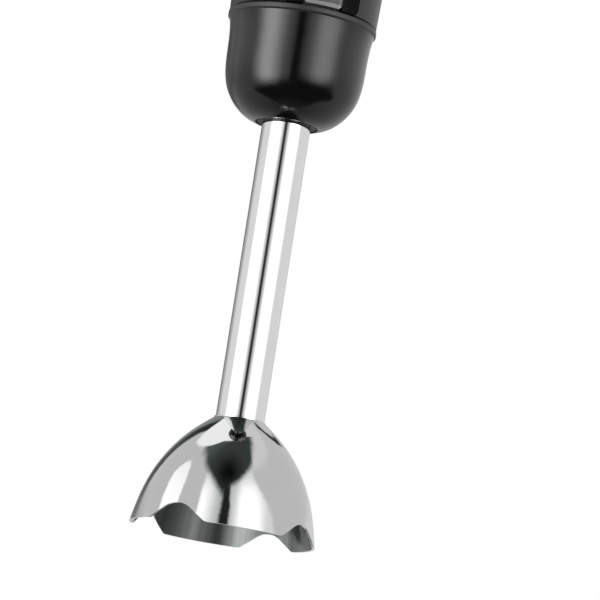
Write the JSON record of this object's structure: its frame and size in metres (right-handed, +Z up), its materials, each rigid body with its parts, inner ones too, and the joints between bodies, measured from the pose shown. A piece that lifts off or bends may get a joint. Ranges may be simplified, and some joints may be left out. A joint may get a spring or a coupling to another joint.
{
  "type": "immersion blender",
  "caption": "Corded hand blender: polished steel bell with arched rim and tube, round black collar cup, handle with release and speed buttons, detachable stick.",
  "frame": {"origin": "centre of the bell's rim, on the plane that its teeth stand on", "axes": "+Z up along the shaft to the handle's top; the front with the buttons faces -Y; +X is to the right seen from the front"},
  "size_m": [0.0718, 0.0718, 0.3908],
  "materials": {
    "polished_steel": "mirror polished stainless steel",
    "machined_steel": "turned and ground steel",
    "blade_steel": "ground stainless blade",
    "zinc_steel": "zinc plated steel",
    "black_gloss": "polished black ABS",
    "black_satin": "satin black ABS",
    "button_dark": "dark grey satin",
    "bright_trim": "chrome plated plastic",
    "core_plastic": "moulded black nylon",
    "white_nylon": "natural acetal",
    "bronze": "sintered bronze",
    "soft_rubber": "black rubber",
    "silicone": "grey silicone",
    "can_steel": "nickel plated drawn steel",
    "ferrite": "sintered ferrite",
    "laminations": "stacked steel sheets",
    "copper": "enamelled copper",
    "carbon": "pressed graphite",
    "board_green": "glass epoxy board",
    "part_black": "moulded component body",
    "part_yellow": "moulded film capacitor"
  },
  "bodies": {
    "handle": {"socket_ring": "core_plastic", "release_clip": "zinc_steel", "grip_shell": "black_satin", "front_panel": "black_gloss", "top_cap": "black_gloss", "cord_gland": "soft_rubber", "housing_screws": "zinc_steel", "motor_carrier": "core_plastic", "lower_motor_mount": "soft_rubber", "upper_motor_mount": "soft_rubber", "motor_can": "can_steel", "motor_magnets": "ferrite", "front_bearing": "machined_steel", "rear_bearing": "machined_steel", "motor_end_cap": "core_plastic", "motor_screws": "zinc_steel", "brush_holders": "bronze", "carbon_brushes": "carbon", "brush_springs": "zinc_steel", "inner_frame": "core_plastic", "circuit_board": "board_green", "board_screws": "zinc_steel", "microswitches": "part_black", "button_membrane": "silicone", "suppression_capacitor": "part_yellow", "rectifier": "part_black", "cord_clamp": "core_plastic", "clamp_screws": "zinc_steel"},
    "rotor": {"motor_shaft": "machined_steel", "armature_core": "laminations", "armature_windings": "copper", "commutator": "copper", "cooling_fan": "white_nylon", "driving_coupling": "white_nylon"},
    "stick": {"bell_guard": "polished_steel", "shaft_tube": "polished_steel", "lower_bearing_housing": "core_plastic", "lower_bush": "bronze", "lip_seal": "soft_rubber", "middle_bush": "white_nylon", "upper_bush": "bronze", "stick_core": "core_plastic", "core_screws": "zinc_steel", "tube_exit_ring": "core_plastic", "collar_cup": "black_gloss", "coupling_spigot": "core_plastic", "seam_band": "black_gloss"},
    "blade_drive": {"drive_shaft": "machined_steel", "retaining_clip": "zinc_steel", "blade": "blade_steel", "blade_spacer": "machined_steel", "blade_cap": "machined_steel", "driven_coupling": "white_nylon"},
    "release_button": {"release_button": "button_dark", "release_trim": "bright_trim"},
    "speed_button": {"speed_button": "button_dark"},
    "turbo_button": {"turbo_button": "button_dark"}
  },
  "joints": [
    {"name": "stick_slide", "type": "slide", "parent": "handle", "child": "stick", "axis": [0, 0, -1], "range_m": [0, 0.06], "deforming": ["release_clip"]},
    {"name": "motor_spin", "type": "hinge", "parent": "handle", "child": "rotor", "pos_m": [0, 0, 0.26], "axis": [0, 0, 1], "continuous": true},
    {"name": "blade_spin", "type": "hinge", "parent": "stick", "child": "blade_drive", "pos_m": [0, 0, 0.1], "axis": [0, 0, 1], "continuous": true},
    {"name": "release_press", "type": "slide", "parent": "handle", "child": "release_button", "axis": [0, 1, 0], "range_m": [0, 0.002], "stiffness_N_per_m": 2000, "springref_m": -0.002, "deforming": ["release_clip"]},
    {"name": "speed_press", "type": "slide", "parent": "handle", "child": "speed_button", "axis": [0, 1, 0], "range_m": [0, 0.0015], "stiffness_N_per_m": 1200, "springref_m": -0.001, "deforming": ["button_membrane"]},
    {"name": "turbo_press", "type": "slide", "parent": "handle", "child": "turbo_button", "axis": [0, 1, 0], "range_m": [0, 0.0015], "stiffness_N_per_m": 1200, "springref_m": -0.001, "deforming": ["button_membrane"]}
  ],
  "couplings": [
    {"joint": "blade_spin", "follows": "motor_spin", "ratio": 1}
  ]
}
